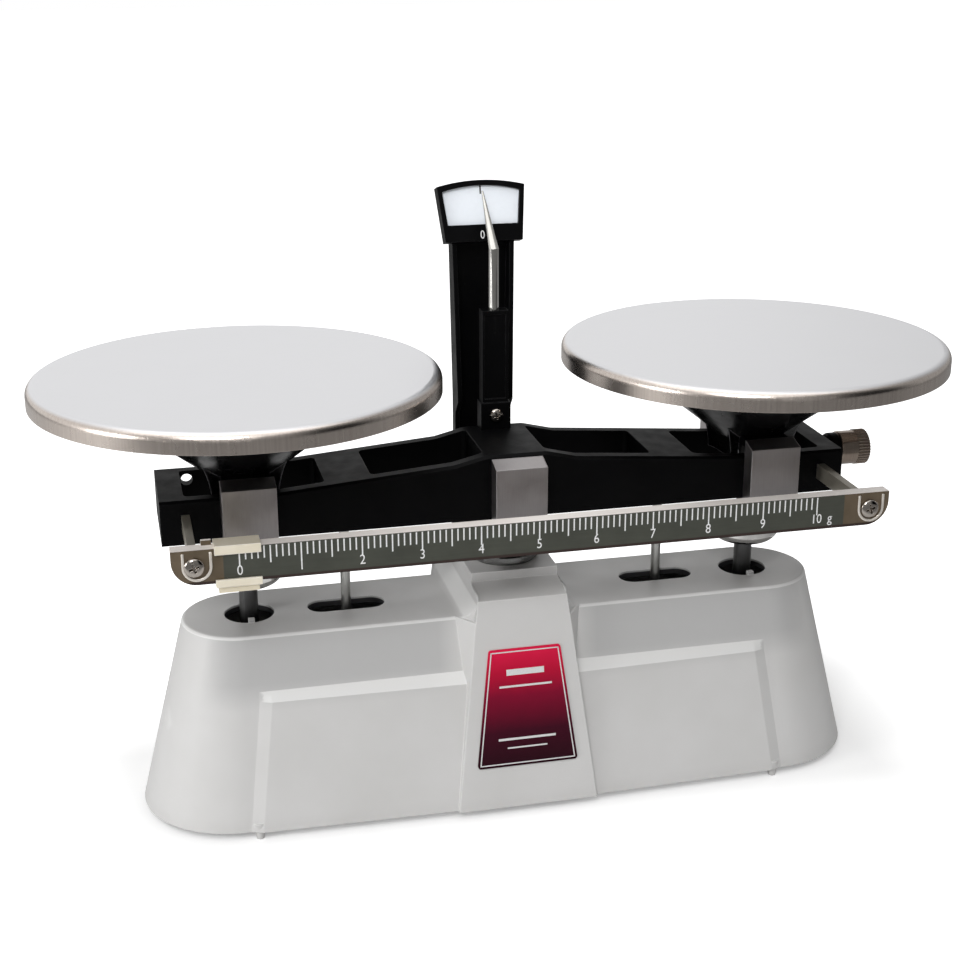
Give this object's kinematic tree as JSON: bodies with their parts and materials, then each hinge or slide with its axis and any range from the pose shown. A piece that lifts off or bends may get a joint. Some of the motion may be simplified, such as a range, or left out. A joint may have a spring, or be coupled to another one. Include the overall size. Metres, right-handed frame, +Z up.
{
  "type": "trip balance",
  "caption": "Equal-arm trip balance: pans on a tilting beam over a drafted housing, a graduated bar with sliding poise, zero knob and pointer dial.",
  "frame": {"origin": "on the table under the centre knife edge, midway between the feet, at the bottom centre of the whole part", "axes": "+X runs along the beam to the right-hand pan and the zero knob, -Y is the front with the graduated bar, +Z is up"},
  "size_m": [0.3564, 0.1524, 0.2365],
  "materials": {
    "housing_paint": "smooth satin light grey",
    "black_sheet": "matt black sheet",
    "zinc_screw": "zinc-plated",
    "label": "bare plate, red fading to dark maroon",
    "black_casting": "semi-gloss black paint",
    "black_gloss": "gloss black moulding",
    "bearing_stone": "polished stone-like brown",
    "cover_sheet": "brushed satin sheet",
    "black_plastic": "satin black",
    "white_card": "white card",
    "zinc_steel": "plated steel",
    "knife_steel": "ground hardened steel",
    "black_rubber": "soft black",
    "bar_metal": "grey-green printed face, bright top flange",
    "brace_metal": "plain nickel-toned sheet",
    "bright_screw": "nickel-plated",
    "bright_blade": "polished",
    "knob_metal": "turned, nickel-toned",
    "poise_metal": "nickel-plated brass",
    "poise_pad": "pale moulding",
    "stem_steel": "dark plated steel",
    "chrome_cup": "polished",
    "pan_steel": "fine brushed stainless"
  },
  "bodies": {
    "base": {"base_housing": "housing_paint", "bottom_plate": "black_sheet", "bottom_plate_screws": "zinc_screw", "label_plate": "label", "centre_disc": "black_casting", "centre_stand": "black_casting", "centre_bearings": "bearing_stone", "centre_cover_front": "cover_sheet", "centre_cover_rear": "cover_sheet", "stand_bolt": "zinc_screw", "dial_tower": "black_plastic", "dial_frame": "black_plastic", "dial_card": "white_card", "tower_screws": "zinc_screw", "lower_bracket": "zinc_steel", "lower_pivot_pin": "zinc_steel"},
    "check_link": {"check_link": "zinc_steel", "check_link_pins": "zinc_steel"},
    "beam": {"beam": "black_casting", "centre_knife_edge": "knife_steel", "left_knife_edges": "knife_steel", "right_knife_edges": "knife_steel", "left_stop_rod": "zinc_steel", "right_stop_rod": "zinc_steel", "rod_stops": "black_rubber", "graduated_bar": "bar_metal", "left_bar_brace": "brace_metal", "right_bar_brace": "brace_metal", "bar_screws": "bright_screw", "pointer_holder": "black_plastic", "pointer": "bright_blade", "pointer_screw": "bright_screw", "zero_stud": "zinc_steel"},
    "zero_collar": {"zero_collar": "black_plastic"},
    "zero_knob": {"zero_knob": "knob_metal", "zero_knob_ring": "knob_metal"},
    "poise": {"poise": "poise_metal", "poise_pad": "poise_pad"},
    "left_hanger": {"left_yoke": "black_casting", "left_bearings": "bearing_stone", "left_cover_front": "cover_sheet", "left_cover_rear": "cover_sheet", "left_spider": "black_gloss", "left_stem": "stem_steel", "left_stem_nut": "zinc_screw", "left_cup": "chrome_cup"},
    "left_pan": {"left_pan": "pan_steel"},
    "right_hanger": {"right_yoke": "black_casting", "right_bearings": "bearing_stone", "right_cover_front": "cover_sheet", "right_cover_rear": "cover_sheet", "right_spider": "black_gloss", "right_stem": "stem_steel", "right_stem_nut": "zinc_screw", "right_cup": "chrome_cup"},
    "right_pan": {"right_pan": "pan_steel"}
  },
  "joints": [
    {"name": "beam_tilt", "type": "hinge", "parent": "base", "child": "beam", "pos_m": [0, 0, 0.1285], "axis": [0, 1, 0], "range_deg": [-3, 3]},
    {"name": "left_hanger_tilt", "type": "hinge", "parent": "beam", "child": "left_hanger", "pos_m": [-0.102, 0, 0.1285], "axis": [0, 1, 0], "range_deg": [-3.01, 3.01]},
    {"name": "right_hanger_tilt", "type": "hinge", "parent": "beam", "child": "right_hanger", "pos_m": [0.102, 0, 0.1285], "axis": [0, 1, 0], "range_deg": [-3.01, 3.01]},
    {"name": "check_link_tilt", "type": "hinge", "parent": "base", "child": "check_link", "pos_m": [0, 0, 0.0285], "axis": [0, 1, 0], "range_deg": [-3.01, 3.01]},
    {"name": "left_pan_lift", "type": "slide", "parent": "left_hanger", "child": "left_pan", "axis": [0, 0, 1], "range_m": [0, 0.06]},
    {"name": "right_pan_lift", "type": "slide", "parent": "right_hanger", "child": "right_pan", "axis": [0, 0, 1], "range_m": [0, 0.06]},
    {"name": "poise_slide", "type": "slide", "parent": "beam", "child": "poise", "axis": [1, 0, 0], "range_m": [0, 0.216]},
    {"name": "zero_knob_advance", "type": "slide", "parent": "beam", "child": "zero_collar", "axis": [1, 0, 0], "range_m": [-0.00141, 0.00281]},
    {"name": "zero_knob_spin", "type": "hinge", "parent": "zero_collar", "child": "zero_knob", "pos_m": [0.14, 0, 0.1272], "axis": [1, 0, 0], "range_deg": [-720, 1440]}
  ],
  "couplings": [
    {"joint": "left_hanger_tilt", "follows": "beam_tilt", "ratio": -1},
    {"joint": "right_hanger_tilt", "follows": "beam_tilt", "ratio": -1},
    {"joint": "check_link_tilt", "follows": "beam_tilt", "ratio": 1},
    {"joint": "zero_knob_advance", "follows": "zero_knob_spin", "m_per_rad": 0.0001114}
  ]
}
